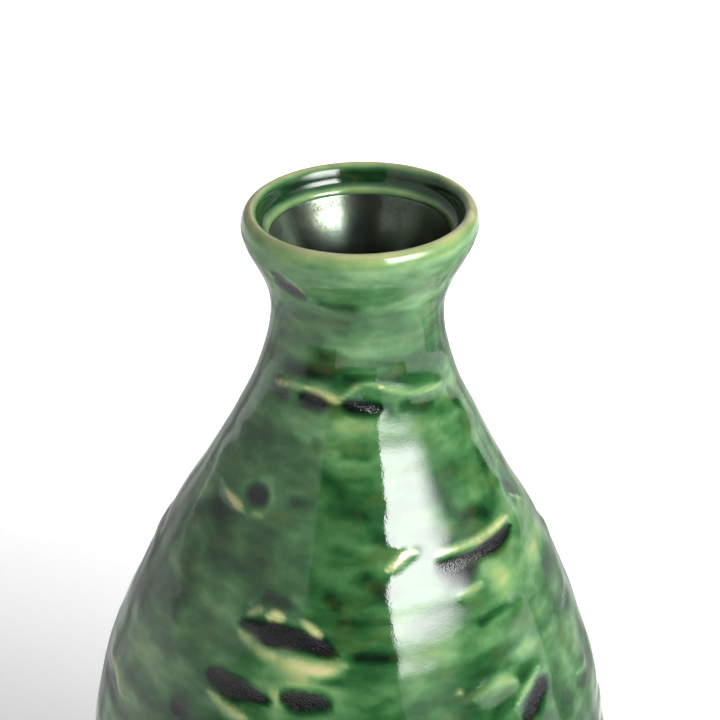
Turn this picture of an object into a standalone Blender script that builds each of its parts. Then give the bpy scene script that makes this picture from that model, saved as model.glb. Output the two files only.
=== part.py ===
"""Sake bottle (tokkuri) in green-glazed stoneware.

The bottle is one thrown piece of clay under two coats of glaze, so it is modelled as its three
layers: the stoneware body, the outer coat that runs from above the foot over the lip and stops just
inside the mouth, and the lining that covers the rest of the inside. All three are turned about Z.

Metres, +Z up. The origin is the centre of the foot ring's underside.
"""

import math

import bpy
from mathutils import Vector
from mathutils.geometry import interpolate_bezier

MM = 0.001

# Driving dimensions of the glazed surface
HEIGHT = 150.0 * MM  # foot ring to the crest of the lip
LIP_RADIUS = 18.6 * MM
WAIST_RADIUS = 13.5 * MM  # narrowest part of the neck, outside
WAIST_HEIGHT = 133.5 * MM
THROAT_RADIUS = 10.0 * MM  # narrowest part of the neck, inside
BELLY_RADIUS = 43.9 * MM
BELLY_HEIGHT = 47.0 * MM
WALL = 5.0 * MM  # glazed wall at the belly
FLOOR_HEIGHT = 8.5 * MM  # inside floor above the foot ring

# Driving dimensions of the bare foot
GLAZE_LINE = 7.5 * MM  # the outer coat stops this far above the foot ring's underside
FOOT_RADIUS = 28.5 * MM
FOOT_RING_WIDTH = 4.5 * MM
FOOT_RECESS = 2.5 * MM  # depth of the hollow inside the foot ring
FOOT_EDGE = 0.7 * MM  # bevel on both edges of the foot ring

GLAZE = 0.4 * MM  # thickness of either coat
GAP = 0.3 * MM  # clearance kept between two layers

SEGMENTS = 40
STEPS_PER_SPAN = 2
MERGE_DISTANCE = 0.05 * MM

# Stations (radius, height) of the lining's surface, from the middle of the floor to the mouth
LINING = [
    (0.0, FLOOR_HEIGHT),
    (12.0 * MM, FLOOR_HEIGHT + 0.1 * MM),
    (22.0 * MM, FLOOR_HEIGHT + 1.7 * MM),
    (30.8 * MM, 16.0 * MM),
    (BELLY_RADIUS - 1.6 * WALL, 28.0 * MM),
    (BELLY_RADIUS - WALL, BELLY_HEIGHT),
    (36.5 * MM, 64.5 * MM),
    (29.2 * MM, 86.5 * MM),
    (20.6 * MM, 103.5 * MM),
    (13.4 * MM, 118.0 * MM),
    (THROAT_RADIUS, WAIST_HEIGHT),
    (11.6 * MM, HEIGHT - 10.3 * MM),
    (14.1 * MM, HEIGHT - 4.2 * MM),
]

# Stations of the outer coat's surface, from just inside the mouth over the lip to the glaze line
COAT = [
    (14.7 * MM, HEIGHT - 3.2 * MM),
    (15.7 * MM, HEIGHT - 1.3 * MM),
    (16.9 * MM, HEIGHT),
    (LIP_RADIUS - 0.3 * MM, HEIGHT - 0.8 * MM),
    (LIP_RADIUS - 0.1 * MM, HEIGHT - 2.8 * MM),
    (16.3 * MM, HEIGHT - 7.5 * MM),
    (WAIST_RADIUS, WAIST_HEIGHT),
    (14.4 * MM, 126.5 * MM),
    (18.0 * MM, 116.5 * MM),
    (25.0 * MM, 103.5 * MM),
    (33.8 * MM, 86.5 * MM),
    (41.2 * MM, 64.5 * MM),
    (BELLY_RADIUS, BELLY_HEIGHT),
    (40.6 * MM, 29.0 * MM),
    (30.6 * MM, GLAZE_LINE),
]

GREEN_GLAZE = {"color": (0.055, 0.215, 0.075), "roughness": 0.08, "metallic": 0.0}
DARK_GLAZE = {"color": (0.030, 0.055, 0.035), "roughness": 0.22, "metallic": 0.3}
BARE_CLAY = {"color": (0.48, 0.39, 0.28), "roughness": 0.85, "metallic": 0.0}


def clear_scene():
    for obj in list(bpy.data.objects):
        bpy.data.objects.remove(obj)


def make_collection(name):
    collection = bpy.data.collections.new(name)
    bpy.context.scene.collection.children.link(collection)
    return collection


def make_material(name, look):
    material = bpy.data.materials.new(name)
    material.use_nodes = True
    shader = material.node_tree.nodes["Principled BSDF"]
    shader.inputs["Base Color"].default_value = (*look["color"], 1.0)
    shader.inputs["Roughness"].default_value = look["roughness"]
    shader.inputs["Metallic"].default_value = look["metallic"]
    return material


def slope(before, here, after):
    """Unit direction of the curve at a station, leaning towards the nearer neighbour's side."""
    arriving, leaving = here - before, after - here
    return (arriving * leaving.length_squared + leaving * arriving.length_squared).normalized()


def smooth(stations):
    """Points on a smooth curve through the stations, STEPS_PER_SPAN to each span."""
    stops = [Vector(station) for station in stations]
    middles = [slope(*stops[i - 1 : i + 2]) for i in range(1, len(stops) - 1)]
    slopes = [(stops[1] - stops[0]).normalized(), *middles, (stops[-1] - stops[-2]).normalized()]
    points = [stops[0]]
    for i, (start, end) in enumerate(zip(stops, stops[1:])):
        third = (end - start).length / 3
        handles = start + slopes[i] * third, end - slopes[i + 1] * third
        points += interpolate_bezier(start, *handles, end, STEPS_PER_SPAN + 1)[1:]
    return points


def inset(points, depth):
    """The same surface, moved by depth into the wall, which is on the right of the direction of travel."""
    moved = []
    for i, point in enumerate(points):
        along = (points[min(i + 1, len(points) - 1)] - points[max(i - 1, 0)]).normalized()
        moved.append(point + Vector((along.y, -along.x)) * depth)
    return moved


def on_axis(point):
    return Vector((0.0, point.y))


def lining_profile():
    """Cup-shaped coat: up its inner face and down its outer face, from axis to axis."""
    face = smooth(LINING)
    back = inset(face, GLAZE)
    return [*face, *reversed(back[1:]), on_axis(back[0])], False


def coat_profile():
    """Ring-shaped coat: down its outer face and back up its inner face, closed."""
    face = smooth(COAT)
    return [*face, *reversed(inset(face, GLAZE))], True


def body_profile():
    """Clay between the two coats, then the bare foot with its turned ring, from axis to axis."""
    inside = inset(smooth(LINING), GLAZE + GAP)
    outside = inset(smooth(COAT), GLAZE + GAP)
    ring_inner = FOOT_RADIUS - FOOT_RING_WIDTH
    foot = [
        (FOOT_RADIUS + 1.5 * MM, GLAZE_LINE - 1.2 * MM),
        (FOOT_RADIUS + 0.3 * MM, 2.5 * MM),
        (FOOT_RADIUS, FOOT_EDGE),
        (FOOT_RADIUS - FOOT_EDGE, 0.0),
        (ring_inner + FOOT_EDGE, 0.0),
        (ring_inner, FOOT_EDGE),
        (ring_inner - FOOT_EDGE, FOOT_RECESS),
        (0.0, FOOT_RECESS),
    ]
    return [on_axis(inside[0]), *inside[1:], *outside, *foot], False


def turn(name, profile, closed, look, collection):
    """Object made by turning a profile of (radius, height) points about Z."""
    mesh = bpy.data.meshes.new(name)
    last = len(profile) - 1
    edges = [(i, i + 1) for i in range(last)] + ([(last, 0)] if closed else [])
    mesh.from_pydata([(radius, 0.0, height) for radius, height in profile], edges, [])
    obj = bpy.data.objects.new(name, mesh)
    mesh.materials.append(make_material(name, look))
    collection.objects.link(obj)

    screw = obj.modifiers.new("Turn", "SCREW")
    screw.angle = math.tau
    screw.steps = SEGMENTS
    screw.render_steps = SEGMENTS
    screw.use_merge_vertices = True
    screw.merge_threshold = MERGE_DISTANCE
    screw.use_smooth_shade = True
    return obj


clear_scene()
bottle = make_collection("sake_bottle")
turn("stoneware_body", *body_profile(), BARE_CLAY, bottle)
turn("outer_glaze", *coat_profile(), GREEN_GLAZE, bottle)
turn("inner_glaze", *lining_profile(), DARK_GLAZE, bottle)
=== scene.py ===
"""Looks of the green-glazed sake bottle: a thrown stoneware body under two coats of glaze.

The bottle is drawn in millimetres of a bottle 150 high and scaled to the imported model. Heights run up
from the foot ring. Angles run round the axis in degrees: 0 faces -Y, 90 faces +X.
"""

import math

import bpy
import numpy as np
from mathutils import Matrix, Vector
from mathutils.geometry import interpolate_bezier


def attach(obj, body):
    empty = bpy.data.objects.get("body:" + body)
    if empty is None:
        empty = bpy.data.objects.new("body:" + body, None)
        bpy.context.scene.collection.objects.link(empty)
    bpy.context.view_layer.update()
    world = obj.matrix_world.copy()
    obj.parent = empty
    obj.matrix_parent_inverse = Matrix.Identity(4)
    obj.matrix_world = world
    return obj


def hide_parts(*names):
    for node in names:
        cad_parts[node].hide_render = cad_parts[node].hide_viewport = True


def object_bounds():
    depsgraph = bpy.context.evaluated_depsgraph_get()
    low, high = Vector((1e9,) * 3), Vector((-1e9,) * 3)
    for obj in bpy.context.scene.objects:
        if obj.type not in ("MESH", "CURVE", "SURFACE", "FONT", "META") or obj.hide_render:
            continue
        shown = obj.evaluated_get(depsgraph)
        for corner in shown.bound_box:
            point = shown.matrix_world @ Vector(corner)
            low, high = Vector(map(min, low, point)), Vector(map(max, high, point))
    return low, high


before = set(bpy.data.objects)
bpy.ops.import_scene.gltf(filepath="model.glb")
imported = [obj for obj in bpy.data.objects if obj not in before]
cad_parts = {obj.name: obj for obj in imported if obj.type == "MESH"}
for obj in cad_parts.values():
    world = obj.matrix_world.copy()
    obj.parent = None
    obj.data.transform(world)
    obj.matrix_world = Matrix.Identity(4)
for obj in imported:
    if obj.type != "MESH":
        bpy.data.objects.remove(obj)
cad_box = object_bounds()

DRAWN_HEIGHT = 150.0
MM = (cad_box[1][2] - cad_box[0][2]) / DRAWN_HEIGHT

# Profile of the coat's face (radius, height): from the ledge inside the mouth, over the lip, to the foot
MOUTH = [
    (14.05, 145.1),
    (14.3, 145.85),
    (14.75, 146.2),
    (15.2, 146.4),
    (15.6, 147.0),
    (15.85, 147.9),
    (16.25, 148.85),
    (17.05, 149.35),
    (17.9, 148.95),
    (18.4, 147.9),
    (18.55, 146.6),
    (18.15, 144.9),
    (16.75, 141.9),
]
NECK_AND_BODY = [
    (15.2, 138.8),
    (14.15, 135.8),
    (13.75, 132.6),
    (13.95, 129.6),
    (14.6, 125.6),
    (16.0, 120.6),
    (18.0, 115.6),
    (21.1, 109.6),
    (25.0, 102.6),
    (29.6, 94.6),
    (33.85, 85.6),
    (37.7, 75.6),
    (41.5, 63.6),
    (43.2, 52.0),
    (43.45, 45.0),
    (42.4, 36.0),
    (39.6, 26.0),
    (35.4, 16.0),
    (30.8, 7.5),
]

# Profile of the lining's face, from the middle of the floor up to the ledge
LINING = [
    (0.0, 8.5),
    (12.0, 8.6),
    (22.0, 10.2),
    (30.6, 16.0),
    (35.8, 28.0),
    (38.7, 47.0),
    (36.5, 64.5),
    (29.2, 86.5),
    (20.6, 103.0),
    (13.4, 117.5),
    (10.8, 125.0),
    (10.0, 132.6),
    (10.5, 135.7),
    (11.6, 138.7),
    (12.9, 141.7),
    (14.0, 144.8),
    (14.35, 145.7),
]

# Profile of the bare foot, from just under the glaze line to the middle of the underside
FOOT = [
    (29.7, 6.0),
    (28.9, 2.6),
    (28.5, 0.9),
    (27.9, 0.15),
    (27.3, 0.0),
    (25.2, 0.0),
    (24.6, 0.15),
    (24.1, 0.9),
    (23.6, 2.2),
    (22.6, 2.6),
    (10.0, 2.7),
    (0.0, 2.7),
]

COAT_THICKNESS = 1.3  # deep enough to hold the pools
COAT_EDGE = 0.6  # thickness at the glaze line
LINING_THICKNESS = 0.4
CLAY_INSET = 1.1  # how far the clay lies behind the coat's face
GUTTER_HEIGHT = 147.0  # the clay of the lip starts here, on its inner side

LIP_TILT = 0.033  # the lip was cut by hand and rises towards +X by this slope
WAIST_HEIGHT = 132.6
LIP_HEIGHT = 144.0
CARD_CENTRE = 95.0  # the studio cards are set round this height on the axis

COLUMNS = 288
LINING_COLUMNS = 192
CLAY_COLUMNS = 192
COAT_ROWS = 296
COAT_BACK_ROWS = 40
LINING_ROWS = 190
CLAY_INSIDE_ROWS = 60
CLAY_OUTSIDE_ROWS = 110
FOOT_ROWS = 110

HALO_TONE = 0.24  # how much the glaze darkens round a pool
DEPTH_TONE = 0.45  # and for each mm that it is thicker
ROLL_RISE = 0.15  # the coat swells by this much just above the glaze line
ROLL_WIDTH = 1.1

FRONT_ANGLE = 75  # the front, which has its own marks, reaches this far to each side
FRONT_BOTTOM = 75  # and down to this height
FAR = 4.0  # strokes have no effect beyond this many half widths

# How dark the glaze is, 0 cream to 1 black, at distances along the coat's face from the ledge
MOUTH_TONES = [
    (0.0, 0.50),
    (0.9, 0.31),
    (1.3, 0.48),
    (1.8, 0.66),
    (2.4, 0.76),
    (3.6, 0.76),
    (4.3, 0.60),
    (4.8, 0.38),
    (5.3, 0.22),
    (6.1, 0.22),
    (6.9, 0.34),
    (8.0, 0.40),
    (9.5, 0.47),
    (12.0, 0.52),
]
# The same at heights below the lip
BODY_TONES = [
    (140, 0.53),
    (130, 0.545),
    (118, 0.52),
    (108, 0.545),
    (90, 0.55),
    (40, 0.57),
    (13, 0.60),
    (8.5, 0.80),
]


# ---------------------------------------------------------------- curves and fields


def smooth_curve(stations, steps=12):
    """Dense points on a smooth curve through the stations."""
    stops = [Vector(station) for station in stations]
    steps_between = [after - before for before, after in zip(stops, stops[1:])]
    pairs = zip([steps_between[0], *steps_between], [*steps_between, steps_between[-1]])
    slopes = [
        (first * second.length_squared + second * first.length_squared).normalized()
        for first, second in pairs
    ]
    points = [stops[0]]
    for i, (start, end) in enumerate(zip(stops, stops[1:])):
        third = (end - start).length / 3
        handles = start + slopes[i] * third, end - slopes[i + 1] * third
        points += interpolate_bezier(start, *handles, end, steps + 1)[1:]
    return np.array([tuple(point) for point in points])


def along(points):
    """Distance of each point from the first, measured along the curve."""
    steps = np.hypot(*np.diff(points, axis=0).T)
    return np.concatenate([[0.0], np.cumsum(steps)])


def resample(points, rows, detail=None):
    """The curve at evenly spread places, or closer where detail (a weight per point) is larger."""
    weight = np.ones(len(points)) if detail is None else detail
    steps = np.diff(along(points)) * (weight[1:] + weight[:-1]) / 2
    load = np.concatenate([[0.0], np.cumsum(steps)])
    wanted = np.linspace(0, load[-1], rows)
    return np.stack([np.interp(wanted, load, points[:, i]) for i in (0, 1)], axis=1)


def normals(points):
    """Unit normals of a profile, on the left of its direction: out of the wall."""
    direction = np.gradient(points, axis=0)
    direction /= np.hypot(*direction.T)[:, None]
    return np.stack([-direction[:, 1], direction[:, 0]], axis=1)


def ease(value, low, high):
    """0 at low and beyond, 1 at high and beyond, smooth between; low may be the larger."""
    share = np.clip((value - low) / (high - low), 0, 1)
    return share * share * (3 - 2 * share)


def angles(columns):
    """Angle of each column in degrees, from -180."""
    return np.arange(columns) * 360 / columns - 180


class Grid:
    """Values spread over a turned surface: one row for each profile point, one column for each angle."""

    def __init__(self, profile, columns, seed):
        self.profile = profile
        self.radius, self.height = profile.T
        self.place = along(profile)
        self.angle = angles(columns)
        self.shape = (len(profile), columns)
        self.random = np.random.default_rng(seed)

    def blur(self, field, around, down):
        """Gaussian blur; around and down are its widths in mm."""
        columns = self.shape[1]
        waves = np.arange(columns // 2 + 1)
        damping = np.exp(-0.5 * (waves * around / np.maximum(self.radius, 1)[:, None]) ** 2)
        turned = np.fft.irfft(np.fft.rfft(field, axis=1) * damping, columns, axis=1)
        apart = (self.place[:, None] - self.place) / down
        weights = np.exp(-0.5 * apart**2) * np.gradient(self.place)
        return weights / weights.sum(axis=1, keepdims=True) @ turned

    def noise(self, around, down):
        """Smooth random field with a spread of 1 and features of about the given sizes in mm."""
        field = self.blur(self.random.standard_normal(self.shape), around, down)
        return (field - field.mean()) / field.std()

    def stroke(self, stations, width, taper=True):
        """Distance from a stroke as a share of its half width: below 1 is inside it.

        stations are (angle, height) along the middle of the stroke, which narrows at its ends if taper.
        """
        path = smooth_curve(stations)
        outside = slice(np.argmax(self.height), None)
        path_down = np.interp(-path[:, 1], -self.height[outside], self.place[outside])
        radius = np.interp(path_down.mean(), self.place, self.radius)
        middle = path[:, 0].mean()
        path_across = np.radians(path[:, 0] - middle) * radius
        across = np.radians((self.angle - middle + 180) % 360 - 180) * radius

        share = np.linspace(0, 1, len(path))
        half = width * np.sqrt(np.clip(4 * share * (1 - share), 0.04, 1)) if taper else width
        reach = FAR * width
        columns = np.flatnonzero((across > path_across.min() - reach) & (across < path_across.max() + reach))
        rows = np.flatnonzero((self.place > path_down.min() - reach) & (self.place < path_down.max() + reach))
        away_across = across[columns][None, :, None] - path_across
        away_down = self.place[rows][:, None, None] - path_down
        share_away = np.full(self.shape, FAR)
        share_away[np.ix_(rows, columns)] = (np.hypot(away_across, away_down) / half).min(axis=2)
        return share_away


# ---------------------------------------------------------------- marks of the making


class Marks:
    """Relief of the clay, and how dark or pale the glaze turns over it."""

    def __init__(self, grid):
        self.grid = grid
        self.relief = np.zeros(grid.shape)
        self.pool = np.zeros(grid.shape)
        self.halo = np.zeros(grid.shape)
        self.cream = np.zeros(grid.shape)
        self.tone = np.zeros(grid.shape)
        self.ragged = grid.noise(1.8, 0.9)

    def gouge(self, stations, width, depth=0.6, dark=1.0):
        """Torn hollow that fills with dark glaze."""
        away = self.grid.stroke(stations, width)
        self.relief -= 0.45 * depth * ease(away, 1.5, 0.1)
        away = away + 0.28 * self.ragged
        self.pool = np.maximum(self.pool, ease(away, 1.25, 0.55) * dark)
        self.halo = np.maximum(self.halo, ease(away, 2.0, 0.8) * dark)

    def ridge(self, stations, width, rise=0.35, pale=1.0):
        """Raised lip of clay that shows cream through thin glaze."""
        away = self.grid.stroke(stations, width)
        self.relief += rise * np.exp(-1.2 * away**2)
        self.tone -= 0.06 * np.exp(-1.2 * away**2)
        away = away + 0.2 * self.ragged
        self.cream = np.maximum(self.cream, ease(away, 1.6, 0.2) * pale)

    def shade(self, stations, width, amount):
        """Broad soft patch that is darker, or paler if amount is negative."""
        away = self.grid.stroke(stations, width, taper=False)
        self.tone += amount * np.exp(-1.4 * away**2)


def mark_front(marks):
    """Marks on the side that faces -Y, from the neck down to the belly."""
    mark_neck(marks)
    mark_shoulder(marks)
    mark_belly(marks)


def mark_neck(marks):
    """Hollow under the lip, bands round the neck, and the wavy ridge at its foot."""
    # torn hollow under the lip, with a pale edge
    marks.gouge([(-46, 143.4), (-41, 141.9), (-33, 140.4)], 1.5, 0.5)
    marks.ridge([(-40, 144.4), (-33, 143.0), (-29, 140.9)], 0.35, 0.25, 0.7)
    marks.ridge([(-51, 143.6), (-49, 142.4)], 0.6, 0.2, 0.6)
    marks.shade([(-20, 140.0), (-4, 139.2)], 1.3, 0.16)
    # dark bands
    marks.shade([(-58, 131.0), (-40, 131.8), (-26, 132.3)], 1.2, 0.12)
    marks.shade([(-44, 136.0), (-24, 136.6), (-6, 136.2)], 0.9, 0.07)
    marks.shade([(0, 137.4), (22, 137.8), (40, 137.0)], 0.8, 0.06)
    marks.shade([(10, 129.0), (30, 129.4), (48, 128.8)], 0.9, 0.08)
    marks.shade([(-12, 134.4), (28, 134.0)], 1.0, 0.06)
    marks.shade([(-20, 131.4), (28, 131.2)], 0.9, -0.05)
    # These two darker patches left of the front are partly painted reflection of something dim beside the
    # bottle, laid over the glaze's own darker bands.
    marks.shade([(-23, 129.7), (-14, 130.0)], 1.1, 0.16)
    marks.shade([(-48, 126.2), (-34, 126.7), (-18, 127.3)], 1.3, 0.24)
    marks.shade([(-6, 126.8), (14, 126.6), (26, 126.2)], 0.8, 0.12)
    marks.shade([(-55, 123.0), (-47, 122.4)], 1.5, 0.22)
    # wavy ridge where the neck meets the shoulder
    marks.ridge([(-58, 122.8), (-47, 123.6), (-36, 124.1), (-29, 124.2)], 0.6, 0.3, 0.55)
    marks.ridge([(-32, 124.2), (-24, 124.1), (-15, 123.6), (-8, 123.3)], 0.7, 0.35, 0.7)
    marks.ridge([(-9, 123.4), (-4, 124.5), (1, 125.6), (8, 126.0), (16, 125.4)], 0.75, 0.35, 0.25)
    marks.ridge([(14, 125.4), (24, 124.6), (34, 123.6), (46, 123.4), (62, 122.8)], 0.75, 0.35, 0.10)
    # hollows under it
    marks.shade([(-34, 122.4), (-8, 122.2), (18, 121.6)], 1.4, 0.14)
    marks.gouge([(-33, 122.6), (-27, 122.6), (-18, 122.6)], 1.25, 0.6, 0.75)
    marks.gouge([(-7, 122.8), (3, 122.5), (15, 122.1)], 1.15, 0.6, 0.7)
    marks.gouge([(26, 122.2), (36, 121.6), (48, 120.8)], 1.2, 0.3, 0.35)
    marks.gouge([(64, 121.8), (72, 117.0)], 0.9, 0.5, 0.2)


def mark_shoulder(marks):
    """Pits, cream lines and the long ridge between the neck and the largest hollow."""
    # pale bloom and dark bands below the neck
    marks.shade([(-8, 119.6), (6, 119.8)], 1.9, -0.13)
    marks.shade([(-5, 115.4), (6, 114.9)], 1.1, 0.16)
    marks.gouge([(-21, 117.0), (-18.5, 115.4)], 0.8, 0.15, 0.25)
    marks.shade([(-12, 111.5), (-7, 110.5)], 1.5, 0.12)
    marks.shade([(-9, 107.5), (4, 107.0)], 1.3, 0.10)
    # round pit inside a pale ring
    marks.gouge([(-45.4, 107.0), (-42.6, 107.1), (-39.8, 107.2)], 1.6, 0.7)
    marks.shade([(-43, 109.4), (-37.5, 108.8), (-35.4, 107.0), (-37.5, 105.0)], 0.9, -0.09)
    marks.ridge([(-42, 104.7), (-37.5, 104.6)], 0.7, 0.2, 0.35)
    # dark wing under a cream line
    marks.shade([(-71, 99.5), (-66, 101.6), (-58, 102.5)], 2.0, 0.20)
    marks.gouge([(-64, 103.0), (-57, 102.9), (-49, 103.0)], 1.2, 0.4, 0.2)
    marks.ridge([(-66, 105.6), (-56, 105.0), (-45, 104.0)], 0.6, 0.35, 0.15)
    marks.ridge([(-60, 105.2), (-53, 104.8), (-46.5, 104.2)], 0.6, 0.2, 0.85)
    marks.shade([(-25, 107.8), (-18, 108.2)], 1.2, 0.20)
    marks.shade([(-60, 92.5), (-54, 91.0)], 2.0, 0.14)
    marks.shade([(-36, 99.5), (-28, 98.5)], 1.6, 0.12)
    # hollows beside the highlight
    marks.shade([(8.5, 103.8), (14, 103.4)], 1.1, 0.16)
    marks.shade([(4.5, 98.6), (9, 97.0)], 1.3, 0.20)
    # long pale ridge over a speckled hollow
    marks.ridge([(11, 99.4), (14.8, 100.6), (18.5, 101.5), (23, 101.6)], 0.8, 0.8, 0.45)
    marks.shade([(25, 100.6), (28, 100.5)], 0.8, 0.10)
    marks.ridge([(28, 100.5), (35.5, 100.5), (46.6, 100.4), (56, 100.6), (67, 100.7)], 0.95, 0.6, 0.42)
    marks.gouge([(28, 98.8), (38, 98.6), (47, 98.6), (56, 98.8), (66, 99.2)], 1.35, 0.6)
    marks.shade([(30, 97.6), (36, 96.6), (42, 97.2)], 1.2, 0.22)
    marks.ridge([(33, 94.2), (38.4, 94.6), (43, 95.0)], 0.8, 0.3, 0.25)
    marks.shade([(40, 106.2), (44, 103.6)], 1.6, 0.20)
    marks.shade([(48, 104.4), (55, 103.2)], 1.7, 0.28)
    marks.shade([(66, 104.5), (69, 110.0)], 1.2, 0.10)
    marks.shade([(48, 97.4), (51, 92.0)], 2.8, -0.15)
    marks.gouge([(51, 90.0), (56, 89.8)], 0.9, 0.25, 0.25)
    marks.shade([(39, 89.6), (44, 90.1), (50, 90.2)], 0.8, 0.22)


def mark_belly(marks):
    """The largest hollow and its neighbours, down to the widest part."""
    # dark bands right of the largest hollow
    marks.shade([(-7, 95.6), (-4.5, 95.0)], 1.2, 0.22)
    marks.shade([(-3, 92.8), (11, 92.6)], 0.8, 0.16)
    marks.shade([(2, 87.8), (12, 87.4)], 1.0, 0.28)
    marks.shade([(-10, 98.0), (-2, 98.6)], 1.0, -0.08)
    # the largest hollow, with cream crumbs above it
    marks.gouge([(-33, 89.9), (-26, 90.0), (-19.7, 89.8), (-13, 89.4), (-4.5, 88.3)], 1.6, 0.8)
    marks.shade([(-26, 94.6), (-20.5, 94.2)], 1.4, 0.24)
    marks.shade([(-31, 93.0), (-28.5, 95.0)], 0.8, -0.12)
    marks.shade([(-18, 95.0), (-13, 93.8)], 0.8, -0.12)
    marks.ridge([(-31.5, 91.4), (-28.8, 92.2), (-26.8, 92.9)], 0.7, 0.3, 0.7)
    marks.ridge([(-25.6, 91.8), (-22.6, 92.2), (-19.6, 92.3)], 0.75, 0.4, 1.0)
    marks.ridge([(-14.8, 92.4), (-12, 91.7), (-8.6, 90.4)], 0.65, 0.4, 0.95)
    # and a soft cream band below it
    band = [(-33, 88.9), (-27.6, 87.9), (-21, 86.9), (-14, 86.1), (-7, 85.9), (-1, 86.8)]
    marks.ridge(band, 2.0, 0.40, 0.28)
    marks.ridge([(-26, 87.8), (-21, 87.0)], 1.1, 0.10, 0.45)
    marks.ridge([(-17, 86.5), (-12.6, 86.1), (-7, 85.9), (-4, 86.2)], 1.0, 0.10, 0.40)
    # two hollows under the band
    marks.gouge([(-39, 81.3), (-34.4, 81.0), (-29.5, 80.8), (-25.2, 80.4), (-20.5, 79.9)], 1.55, 0.75)
    marks.ridge([(-38, 78.6), (-32.3, 77.4), (-25, 76.4)], 0.9, 0.3, 0.45)
    marks.shade([(-19.5, 81.4), (-18.5, 79.5)], 0.8, -0.16)
    marks.gouge([(-17.5, 81.2), (-12.6, 80.9), (-9.5, 81.0), (-5.3, 80.7)], 1.35, 0.55, 0.85)
    marks.shade([(-10, 84.4), (-3, 84.2)], 0.9, 0.14)
    marks.shade([(-16, 83.2), (-2, 83.0)], 0.7, -0.10)
    marks.gouge([(-47.5, 73.8), (-44, 73.6)], 1.0, 0.4, 0.7)
    # right of the belly
    marks.ridge([(32, 79.0), (36.2, 80.1), (39.7, 80.4), (43.6, 80.0), (46.5, 78.6)], 1.4, 0.4, 0.0)
    marks.gouge([(37.5, 75.6), (40.2, 77.0), (43, 78.0)], 1.3, 0.3, 0.25)
    marks.gouge([(46, 73.0), (49.7, 74.4), (52.6, 75.4), (57, 76.6)], 1.35, 0.7)
    marks.ridge([(44, 75.2), (48.5, 76.9), (51.4, 78.0), (56, 79.2)], 0.9, 0.35, 0.20)
    marks.ridge([(27.6, 80.9), (29.4, 80.7)], 0.5, 0.15, 1.0)


def mark_round(marks):
    """Marks of the same kinds all round, in the bands where the throwing left them."""
    random = np.random.default_rng(31)
    heights = (123.0, 104.0, 91.0, 80.0, 68.0, 55.0, 41.0, 27.0, 17.0)
    counts = (4, 5, 5, 6, 8, 8, 7, 5, 4)
    for height, count in zip(heights, counts):
        first = random.uniform(0, 360)
        for i in range(count):
            angle = (first + 360 * (i + random.uniform(-0.3, 0.3)) / count + 180) % 360 - 180
            z = height + random.uniform(-2.5, 2.5)
            turn, slant = random.uniform(4, 13), random.uniform(-1.5, 1.5)
            width, depth = random.uniform(0.7, 1.6), random.uniform(0.3, 0.7)
            side = random.choice([-1, 1])
            dark, pale = random.choice([0.25, 0.4, 0.6, 0.9]), random.uniform(0.0, 0.7)
            wobble = random.normal(0, 0.45, 5)
            if height > FRONT_BOTTOM and -FRONT_ANGLE < angle < FRONT_ANGLE:
                continue
            shares = (-1, -0.5, 0, 0.5, 1)
            path = [(angle + turn * share, z + slant * share + bend) for share, bend in zip(shares, wobble)]
            marks.shade(path, 2.2, 0.08)
            marks.gouge(path, width, depth, dark)
            first_end, last_end = random.choice([0, 1]), random.choice([4, 5])
            edge = [(a, h + side * (width + 0.9)) for a, h in path[first_end:last_end]]
            marks.ridge(edge, random.uniform(0.5, 1.0), 0.35, pale)


# ---------------------------------------------------------------- meshes


def turned_mesh(name, radius, height, closed, values=None):
    """Object from rows of (radius, height) at each angle; the rows close into a ring, or end on the axis."""
    rows, columns = radius.shape
    angle = np.radians(angles(columns))
    points = np.stack([radius * np.sin(angle), -radius * np.cos(angle), height], axis=-1).reshape(-1, 3)
    index = np.arange(rows * columns).reshape(rows, columns)
    here, below = (index, np.roll(index, -1, axis=0)) if closed else (index[:-1], index[1:])
    corners = [here, below, np.roll(below, -1, axis=1), np.roll(here, -1, axis=1)]
    faces = np.stack(corners, axis=-1).reshape(-1, 4).tolist()
    if not closed:
        points = np.concatenate([points, [[0, 0, height[0].mean()], [0, 0, height[-1].mean()]]])
        first, last = rows * columns, rows * columns + 1
        faces += [(first, a, b) for a, b in zip(index[0], np.roll(index[0], -1))]
        faces += [(last, b, a) for a, b in zip(index[-1], np.roll(index[-1], -1))]
    mesh = bpy.data.meshes.new(name)
    mesh.from_pydata((points * MM).tolist(), [], faces)
    mesh.shade_smooth()
    for label, field in (values or {}).items():
        layer = mesh.attributes.new(label, "FLOAT", "POINT")
        layer.data.foreach_set("value", field.ravel().astype(np.float32))
    obj = bpy.data.objects.new(name, mesh)
    bpy.context.scene.collection.objects.link(obj)
    return obj


def spread(column, columns):
    """One value a row, repeated for every angle."""
    return np.repeat(np.asarray(column)[:, None], columns, axis=1)


def tilted(radius, height):
    """Heights after the lip's tilt, which fades out down the neck."""
    side = np.sin(np.radians(angles(radius.shape[1])))
    return height + LIP_TILT * radius * side * ease(height, WAIST_HEIGHT, LIP_HEIGHT)


def coat_profile():
    """Face of the outer coat, with its rows closest round the lip and at the glaze line."""
    points = smooth_curve(MOUTH + NECK_AND_BODY)
    places = along(points)
    lip_end = along(smooth_curve(MOUTH))[-1]
    detail = 1 + 0.9 * ease(places, lip_end, lip_end - 4) + 2 * ease(places, places[-1] - 3, places[-1] - 1)
    return resample(points, COAT_ROWS, detail), lip_end


def coat_tone(grid, lip_end):
    """Tone of the even glaze: by distance round the lip, by height below it."""
    mouth = np.interp(grid.place, *zip(*MOUTH_TONES))
    body = np.interp(-grid.height, *zip(*[(-height, tone) for height, tone in BODY_TONES]))
    return np.where(grid.place < lip_end, mouth, body)[:, None]


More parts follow.
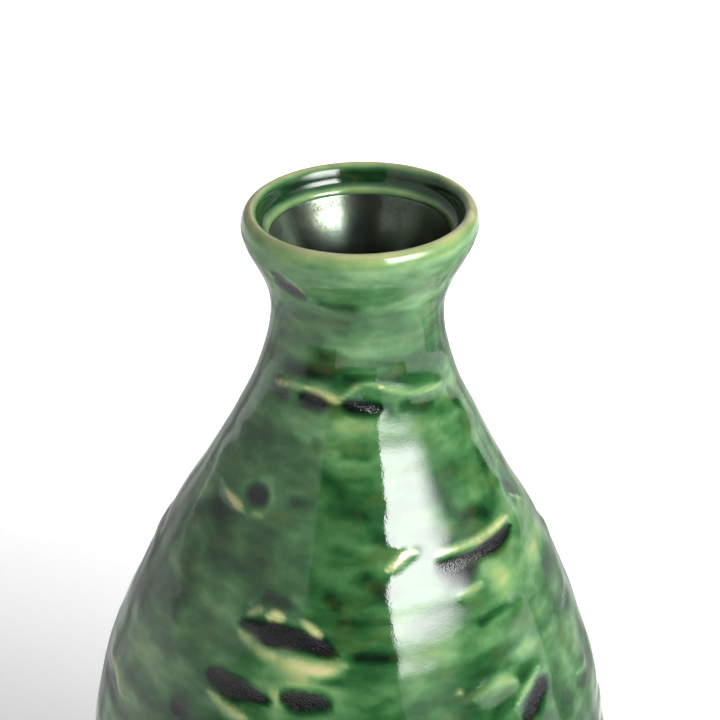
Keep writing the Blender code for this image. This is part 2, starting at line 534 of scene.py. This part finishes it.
def make_coat():
    """Outer coat: its face follows the clay softly, and where it is thick it is dark."""
    face, lip_end = coat_profile()
    grid = Grid(face, COLUMNS, seed=5)
    marks = Marks(grid)
    mark_front(marks)
    mark_round(marks)

    on_body = ease(grid.place, lip_end - 1.5, lip_end + 3)[:, None]
    rings = 0.035 * grid.noise(18, 1.5) + 0.02 * grid.noise(6, 1.5)
    dents = 0.17 * grid.noise(8, 6) + 0.05 * grid.noise(3.5, 3)
    surface = (rings + dents) * on_body + grid.blur(marks.relief, 0.9, 0.7)
    depth = grid.blur(marks.relief, 4, 2.5) - marks.relief - rings * on_body
    mottle = 0.035 * grid.noise(6, 4) + 0.035 * grid.noise(2.8, 1.1) + 0.03 * grid.noise(1.6, 1.4)
    # Throwing lines in the tone, stronger towards the sides as seen from the front: there they are partly
    # painted reflection, the streaks that the rings throw back at a grazing view.
    lines_and_side_sheen = 0.4 + 0.6 * ease(np.abs(grid.angle), 40, 75)
    mottle += 0.05 * grid.noise(22, 0.9) * lines_and_side_sheen
    tone = coat_tone(grid, lip_end) + marks.tone + HALO_TONE * marks.halo
    tone += on_body * (mottle + DEPTH_TONE * depth)

    end = grid.place[-1]
    roll = ROLL_RISE * np.exp(-(((end - grid.place - ROLL_WIDTH) / ROLL_WIDTH) ** 2))
    edge = np.clip((grid.place - end + COAT_EDGE) / COAT_EDGE, 0, 1)
    surface += (roll - COAT_EDGE * (1 - np.sqrt(1 - edge**2)))[:, None]
    run = 0.7 * grid.noise(9, 40)[-1] + 0.25 * grid.noise(3, 40)[-1]
    lowered = grid.height[:, None] + run * ease(grid.place, end - 14, end)[:, None]

    out = normals(face)[:, :, None]
    radius = grid.radius[:, None] + out[:, 0] * surface
    height = lowered + out[:, 1] * surface
    back_rows = np.linspace(COAT_ROWS - 1, 0, COAT_BACK_ROWS).astype(int)
    thickness = (COAT_THICKNESS + (COAT_EDGE - COAT_THICKNESS) * ease(grid.place, end - 6, end))[:, None]
    back_radius = spread((grid.radius[:, None] - out[:, 0] * thickness)[:, 0], COLUMNS)[back_rows]
    back_height = (lowered - out[:, 1] * thickness)[back_rows]
    fields = {
        "tone": tone,
        "pool": grid.blur(marks.pool, 0.5, 0.5),
        "cream": grid.blur(marks.cream, 0.5, 0.5),
        "lip": spread(ease(grid.place, 12, 9), COLUMNS),
    }
    return turned_mesh(
        "outer_coat",
        np.concatenate([radius, back_radius]),
        np.concatenate([tilted(radius, height), tilted(back_radius, back_height)]),
        closed=True,
        values={label: np.concatenate([field, field[back_rows]]) for label, field in fields.items()},
    )


def make_lining():
    """Lining of the inside, over the rings that throwing left."""
    face = resample(smooth_curve(LINING), LINING_ROWS)[1:]
    grid = Grid(face, LINING_COLUMNS, seed=8)
    surface = 0.07 * grid.noise(15, 1.1) + 0.05 * grid.noise(5, 3)
    surface *= ease(grid.place, grid.place[-1], grid.place[-1] - 3)[:, None]
    out = normals(face)[:, :, None]
    radius = grid.radius[:, None] + out[:, 0] * surface
    height = grid.height[:, None] + out[:, 1] * surface
    back = (face - out[:, :, 0] * LINING_THICKNESS)[::-4]
    radius = np.concatenate([radius, spread(back[:, 0], LINING_COLUMNS)])
    height = np.concatenate([height, spread(back[:, 1], LINING_COLUMNS)])
    return turned_mesh("lining", radius, tilted(radius, height), closed=False)


def make_clay():
    """Stoneware: plain under the two coats, with turning marks on the bare foot."""
    inside = resample(smooth_curve(LINING), CLAY_INSIDE_ROWS)[1:]
    inside -= normals(inside) * LINING_THICKNESS * 0.8
    coat = smooth_curve(MOUTH + NECK_AND_BODY)
    outside = resample(coat[np.argmax(coat[:, 1] > GUTTER_HEIGHT) :], CLAY_OUTSIDE_ROWS)
    places = along(outside)
    inset = CLAY_INSET + (COAT_EDGE - 0.1 - CLAY_INSET) * ease(places, places[-1] - 6, places[-1])
    outside -= normals(outside) * inset[:, None]
    foot = resample(smooth_curve([tuple(outside[-1]), *FOOT]), FOOT_ROWS)[1:-1]
    face = np.concatenate([inside, outside, foot])
    grid = Grid(face, CLAY_COLUMNS, seed=3)
    bare = ease(grid.place, grid.place[-1] - 42, grid.place[-1] - 38)[:, None]
    lifted = ease(grid.height, 0.05, 0.6)[:, None]
    marks = 0.05 * grid.noise(30, 0.5) + 0.05 * grid.noise(3, 1.2)
    surface = marks * bare * lifted
    out = normals(face)[:, :, None]
    radius = np.maximum(grid.radius[:, None] + out[:, 0] * surface, 0.1)
    height = np.maximum(grid.height[:, None] + out[:, 1] * surface, 0)
    return turned_mesh("clay", radius, tilted(radius, height), closed=False)


# ---------------------------------------------------------------- materials


class Shader:
    """A new material, and short ways to add nodes to it."""

    def __init__(self, name):
        self.material = bpy.data.materials.new(name)
        self.material.use_nodes = True
        self.tree = self.material.node_tree
        self.principled = self.tree.nodes["Principled BSDF"]
        coordinates = self.tree.nodes.new("ShaderNodeTexCoord")
        self.place = coordinates.outputs["Object"]

    def add(self, kind, output, settings, inputs):
        """Adds a node and gives the named output of it."""
        node = self.tree.nodes.new(kind)
        for name, value in settings.items():
            setattr(node, name, value)
        for key, value in inputs.items():
            self.set(node.inputs[key], value)
        return node.outputs[output]

    def set(self, socket, value):
        """Links a socket to an output, or gives it a plain value."""
        if isinstance(value, bpy.types.NodeSocket):
            self.tree.links.new(value, socket)
        else:
            socket.default_value = value

    def math(self, operation, *values):
        return self.add("ShaderNodeMath", 0, {"operation": operation}, dict(enumerate(values)))

    def attribute(self, name):
        return self.add("ShaderNodeAttribute", "Fac", {"attribute_name": name}, {})

    def noise(self, size, detail=2.0, stretch=(1, 1, 1)):
        """Noise from about -0.5 to 0.5 with features of a size in mm, longer along an axis that stretches."""
        scale = tuple(1 / factor for factor in stretch)
        place = self.add("ShaderNodeVectorMath", 0, {"operation": "MULTIPLY"}, {0: self.place, 1: scale})
        inputs = {"Vector": place, "Scale": 1 / (size * MM), "Detail": detail}
        return self.math("SUBTRACT", self.add("ShaderNodeTexNoise", "Fac", {}, inputs), 0.5)

    def step(self, value, low, high):
        """0 at low, 1 at high and smooth between."""
        inputs = {"Value": value, "From Min": low, "From Max": high}
        return self.add("ShaderNodeMapRange", "Result", {"interpolation_type": "SMOOTHSTEP"}, inputs)

    def ramp(self, value, stops):
        """Colour for a value, from (value, colour) stops."""
        node = self.tree.nodes.new("ShaderNodeValToRGB")
        self.set(node.inputs[0], value)
        elements = node.color_ramp.elements
        while len(elements) < len(stops):
            elements.new(0.5)
        for element, (position, color) in zip(elements, stops):
            element.position = position
            element.color = (*color, 1)
        return node.outputs["Color"]

    def mix(self, factor, first, second):
        """Second colour over the first, by the factor."""
        node = self.tree.nodes.new("ShaderNodeMix")
        node.data_type = "RGBA"
        self.set(node.inputs[0], factor)
        for socket, value in ((node.inputs[6], first), (node.inputs[7], second)):
            self.set(socket, (*value, 1) if isinstance(value, tuple) else value)
        return node.outputs[2]

    def bump(self, heights):
        """Bump from (height in mm, strength) pairs, added together."""
        total = 0.0
        for height, amount in heights:
            total = self.math("MULTIPLY_ADD", height, amount, total)
        inputs = {"Height": total, "Distance": MM, "Strength": 1.0}
        return self.add("ShaderNodeBump", "Normal", {}, inputs)

    def finish(self, **inputs):
        """Sets the surface's own sockets and gives the material."""
        for name, value in inputs.items():
            self.set(self.principled.inputs[name.replace("_", " ")], value)
        return self.material


GLAZE_TONES = [
    (0.15, (0.50, 0.47, 0.24)),
    (0.26, (0.30, 0.37, 0.15)),
    (0.35, (0.18, 0.30, 0.11)),
    (0.43, (0.115, 0.235, 0.095)),
    (0.52, (0.052, 0.150, 0.050)),
    (0.62, (0.020, 0.082, 0.024)),
    (0.75, (0.007, 0.034, 0.011)),
    (0.90, (0.004, 0.010, 0.006)),
]
CREAM = (0.62, 0.57, 0.27)
OLIVE = (0.080, 0.110, 0.022)
PIT_BLACK = (0.001, 0.002, 0.002)
PIT_GRAIN = (0.018, 0.014, 0.021)


def coat_material():
    """Green glaze: its colour follows its thickness, and the pools are dark with grey crystals."""
    shader = Shader("outer_coat")
    fine = shader.noise(0.9, 3)
    cloud = shader.noise(5, 2, (1, 1, 0.6))
    streaks = shader.noise(3.2, 0.5, (1, 1, 0.45))
    tone = shader.math("MULTIPLY_ADD", fine, 0.06, shader.attribute("tone"))
    tone = shader.math("MULTIPLY_ADD", cloud, 0.16, tone)
    tone = shader.math("MULTIPLY_ADD", streaks, 0.16, tone)
    color = shader.ramp(tone, GLAZE_TONES)
    olive = shader.step(shader.noise(7, 3, (1, 1, 0.5)), 0.03, 0.20)
    color = shader.mix(shader.math("MULTIPLY", olive, 0.3), color, OLIVE)

    ragged = shader.math("MULTIPLY", fine, 0.5)
    ridge = shader.attribute("cream")
    broken = shader.math("MULTIPLY_ADD", cloud, 0.7, ragged)
    broken = shader.math("MULTIPLY", broken, shader.step(ridge, 0, 0.3))
    cream = shader.step(shader.math("ADD", ridge, broken), 0.05, 1.0)
    color = shader.mix(cream, color, CREAM)
    pool = shader.step(shader.math("ADD", shader.attribute("pool"), ragged), 0.15, 0.9)
    grain = shader.noise(0.2, 0)
    crystals = shader.math("MULTIPLY", shader.step(grain, -0.05, 0.2), shader.step(cloud, -0.12, 0.10))
    pit = shader.mix(crystals, PIT_BLACK, PIT_GRAIN)
    color = shader.mix(pool, color, pit)

    roughness = shader.math("MULTIPLY_ADD", pool, 0.12, 0.04)
    roughness = shader.math("MULTIPLY_ADD", shader.attribute("lip"), 0.08, roughness)
    rough = shader.math("MULTIPLY", pool, grain)
    swell = shader.noise(3.5, 1)
    peel = shader.noise(0.3, 0)
    normal = shader.bump([(swell, 0.025), (fine, 0.002), (rough, 0.09), (peel, 0.006)])
    return shader.finish(Base_Color=color, Roughness=roughness, Normal=normal, IOR=1.45)


def lining_material():
    """Dark metallic lining glaze with fine crystals; from the neck's waist down its colour fades to near
    black, which is painted shade of the deep inside.
    """
    shader = Shader("lining")
    grain = shader.noise(0.22, 1)
    cloud = shader.noise(5, 3)
    tones = [(0.3, (0.058, 0.082, 0.062)), (0.75, (0.125, 0.142, 0.105))]
    color = shader.ramp(shader.math("ADD", cloud, 0.5), tones)
    color = shader.mix(shader.step(grain, 0.05, 0.17), color, (0.02, 0.024, 0.02))
    height = shader.add("ShaderNodeSeparateXYZ", "Z", {}, {0: shader.place})
    # Painted shade: the colour turns near black from the neck's waist down, deeper inside the bottle.
    clear_of_painted_shade = shader.step(height, 132 * MM, 142.5 * MM)
    color = shader.mix(clear_of_painted_shade, (0.004, 0.006, 0.005), color)
    normal = shader.bump([(grain, 0.015), (shader.noise(2.5, 1), 0.02)])
    return shader.finish(
        Base_Color=color,
        Roughness=0.25,
        Metallic=0.85,
        Normal=normal,
        Coat_Weight=0.2,
        Coat_Roughness=0.1,
    )


def clay_material():
    """Bare buff stoneware with iron specks and fine turning lines."""
    shader = Shader("bare_clay")
    cloud = shader.noise(7, 4)
    lines = shader.noise(0.5, 2, (30, 30, 1))
    buffs = [(0.3, (0.40, 0.30, 0.19)), (0.7, (0.55, 0.44, 0.30))]
    color = shader.ramp(shader.math("ADD", cloud, 0.5), buffs)
    specks = shader.step(shader.noise(0.5, 0), 0.20, 0.26)
    color = shader.mix(shader.math("MULTIPLY", specks, 0.7), color, (0.12, 0.07, 0.04))
    normal = shader.bump([(lines, 0.10), (shader.noise(0.35, 3), 0.10)])
    return shader.finish(Base_Color=color, Roughness=0.88, Normal=normal)


def floor_material():
    """Pale floor that glows with painted light: the glow is weaker near the bottle and stronger away from it.
    """
    shader = Shader("floor")
    distance = shader.add("ShaderNodeVectorMath", "Value", {"operation": "LENGTH"}, {0: shader.place})
    light = shader.add("ShaderNodeMapRange", "Result", {}, {"Value": shader.step(distance, 0.10, 0.32)})
    shader.set(light.node.inputs["To Min"], 0.40)
    shader.set(light.node.inputs["To Max"], 0.84)
    return shader.finish(
        Base_Color=(0.9, 0.9, 0.9, 1),
        Roughness=0.7,
        Emission_Color=(1, 1, 1, 1),
        Emission_Strength=light,
    )


def glow_material():
    """Light whose strength is the mesh's glow attribute; black where that is 0."""
    shader = Shader("glow")
    emission = shader.tree.nodes.new("ShaderNodeEmission")
    shader.set(emission.inputs["Strength"], shader.attribute("glow"))
    output = shader.tree.nodes["Material Output"]
    shader.tree.links.new(emission.outputs[0], output.inputs["Surface"])
    return shader.material


# ---------------------------------------------------------------- studio


def card(name, angle, rise, distance, glow, reflected=True, lighting=False):
    """Curved card round the bottle, between two angles and two elevations in degrees.

    glow gives the light at a grid of shares across and up the card.
    """
    across, up = np.meshgrid(np.linspace(0, 1, 41), np.linspace(0, 1, 31))
    turn = np.radians(angle[0] + across * (angle[1] - angle[0]))
    lift = np.radians(rise[0] + up * (rise[1] - rise[0]))
    direction = [np.cos(lift) * np.sin(turn), -np.cos(lift) * np.cos(turn), np.sin(lift)]
    points = np.stack(direction, axis=-1) * distance
    points[..., 2] += CARD_CENTRE * MM
    index = np.arange(across.size).reshape(across.shape)
    faces = np.stack([index[:-1, :-1], index[1:, :-1], index[1:, 1:], index[:-1, 1:]], axis=-1)
    mesh = bpy.data.meshes.new(name)
    mesh.from_pydata(points.reshape(-1, 3).tolist(), [], faces.reshape(-1, 4).tolist())
    layer = mesh.attributes.new("glow", "FLOAT", "POINT")
    layer.data.foreach_set("value", glow(across, up).ravel().astype(np.float32))
    obj = bpy.data.objects.new(name, mesh)
    bpy.context.scene.collection.objects.link(obj)
    mesh.materials.append(bpy.data.materials["glow"])
    obj.visible_camera = False
    obj.visible_shadow = False
    obj.visible_glossy = reflected
    obj.visible_diffuse = lighting
    return obj


def softbox_glow(across, up):
    """Sharp near edge, bright core, and a soft fall to the far side and the bottom."""
    core = 23 * ease(across, 0.68, 0.34) + 1.3 * ease(across, 1.0, 0.8)
    return core * ease(across, 0, 0.02) * ease(up, 0.04, 0.36) * ease(up, 1, 0.8)


def skirt_glow(across, up):
    """What spills below the softbox, between its near edge and its middle."""
    return 1.4 * ease(across, 0, 0.04) * ease(across, 1, 0.5) * ease(up, 0, 0.3)


def fill_glow(across, up):
    """The light of the softbox and its side of the room on matt surfaces."""
    return 0.42 * softbox_glow(across, up) + 1.4 * ease(across, 0.2, 0.6) * ease(up, 1, 0.8)


def low_glow(across, up):
    """Something dim that stands near the bottle, below the left of the window."""
    return 1 - 0.85 * ease(across, 0, 0.3) * ease(up, 1, 0.75)


def left_glow(across, up):
    """Pale wall that is dimmer to the side and behind."""
    return 1 - 0.45 * ease(across, 0.9, 0.5)


def near_glow(across, up):
    """Table beside the bottle, in its shade, with soft bands along it; it ends where across is 1."""
    return 1 - ease(across, 1, 0.6) * (0.45 + 0.12 * np.sin(30 * across + 6 * up) + 0.10 * np.sin(23 * up))


def right_glow(across, up):
    """Table on the other side, dimmer, with the same soft bands."""
    return 0.6 + 0.16 * np.sin(30 * across + 6 * up) + 0.14 * np.sin(23 * up)


def back_glow(across, up):
    """Even, half-bright wall behind."""
    return np.full_like(across, 0.5)


def black(across, up):
    """No light: a card that hides the white surroundings from the glaze."""
    return np.zeros_like(across)


ROOM_LIGHT = 0.15  # of the white surroundings, on matt surfaces
FLOOR_REACH = 4  # m to each side


def make_studio():
    """Floor, cards and white surroundings."""
    floor_mesh = bpy.data.meshes.new("floor")
    corners = [(x * FLOOR_REACH, y * FLOOR_REACH, 0) for x, y in ((-1, -1), (1, -1), (1, 1), (-1, 1))]
    floor_mesh.from_pydata(corners, [], [(0, 1, 2, 3)])
    floor_mesh.materials.append(floor_material())
    floor = bpy.data.objects.new("floor", floor_mesh)
    bpy.context.scene.collection.objects.link(floor)

    glow_material()
    card("softbox", (24, 96), (4, 52), 0.5, softbox_glow)
    card("skirt", (24, 62), (-16, 9), 0.49, skirt_glow)
    card("fill", (24, 108), (4, 52), 0.9, fill_glow, reflected=False, lighting=True)
    card("front_flag", (-30, 24), (-8, 62), 0.6, black)
    card("low_flag", (-66, -26), (-12, 14), 0.25, low_glow)
    card("side_flag", (24, 140), (-4, 52), 0.6, black)
    card("left_wall", (-170, -60), (-4, 60), 0.8, left_glow)
    card("near_left", (-178, -100), (-38, -3), 0.15, near_glow)
    card("near_right", (96, 178), (-38, -4), 0.15, right_glow)
    card("back_right", (140, 178), (-4, 20), 0.6, back_glow)

    world = bpy.data.worlds.new("studio")
    world.use_nodes = True
    background = world.node_tree.nodes["Background"]
    background.inputs["Color"].default_value = (1, 1, 1, 1)
    paths = world.node_tree.nodes.new("ShaderNodeLightPath")
    strength = world.node_tree.nodes.new("ShaderNodeMapRange")
    strength.inputs["To Min"].default_value = 1.0
    strength.inputs["To Max"].default_value = ROOM_LIGHT
    world.node_tree.links.new(paths.outputs["Is Diffuse Ray"], strength.inputs["Value"])
    world.node_tree.links.new(strength.outputs["Result"], background.inputs["Strength"])
    bpy.context.scene.world = world
    bpy.context.scene.view_settings.view_transform = "Standard"


CAMERA_LENS = 150
CAMERA_PLACE = (0.44, -422.45, 343.7)  # mm
CAMERA_PITCH = 27.63  # degrees below level
CAMERA_ROLL = 1.14


def make_camera():
    """Camera in front of the bottle and above it, looking down."""
    data = bpy.data.cameras.new("camera")
    data.lens = CAMERA_LENS
    camera = bpy.data.objects.new("camera", data)
    bpy.context.scene.collection.objects.link(camera)
    pitch = Matrix.Rotation(math.radians(90 - CAMERA_PITCH), 4, "X")
    roll = Matrix.Rotation(math.radians(CAMERA_ROLL), 4, "Z")
    camera.matrix_world = Matrix.Translation(Vector(CAMERA_PLACE) * MM) @ (pitch @ roll)
    bpy.context.scene.camera = camera


# ---------------------------------------------------------------- the bottle

make_camera()
make_studio()

for piece, material, node, slot in (
    (make_coat(), coat_material(), "outer_glaze", "green_glaze"),
    (make_lining(), lining_material(), "inner_glaze", "dark_glaze"),
    (make_clay(), clay_material(), "stoneware_body", "bare_clay"),
):
    piece.data.materials.append(material)
    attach(piece, "root")
    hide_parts(node)
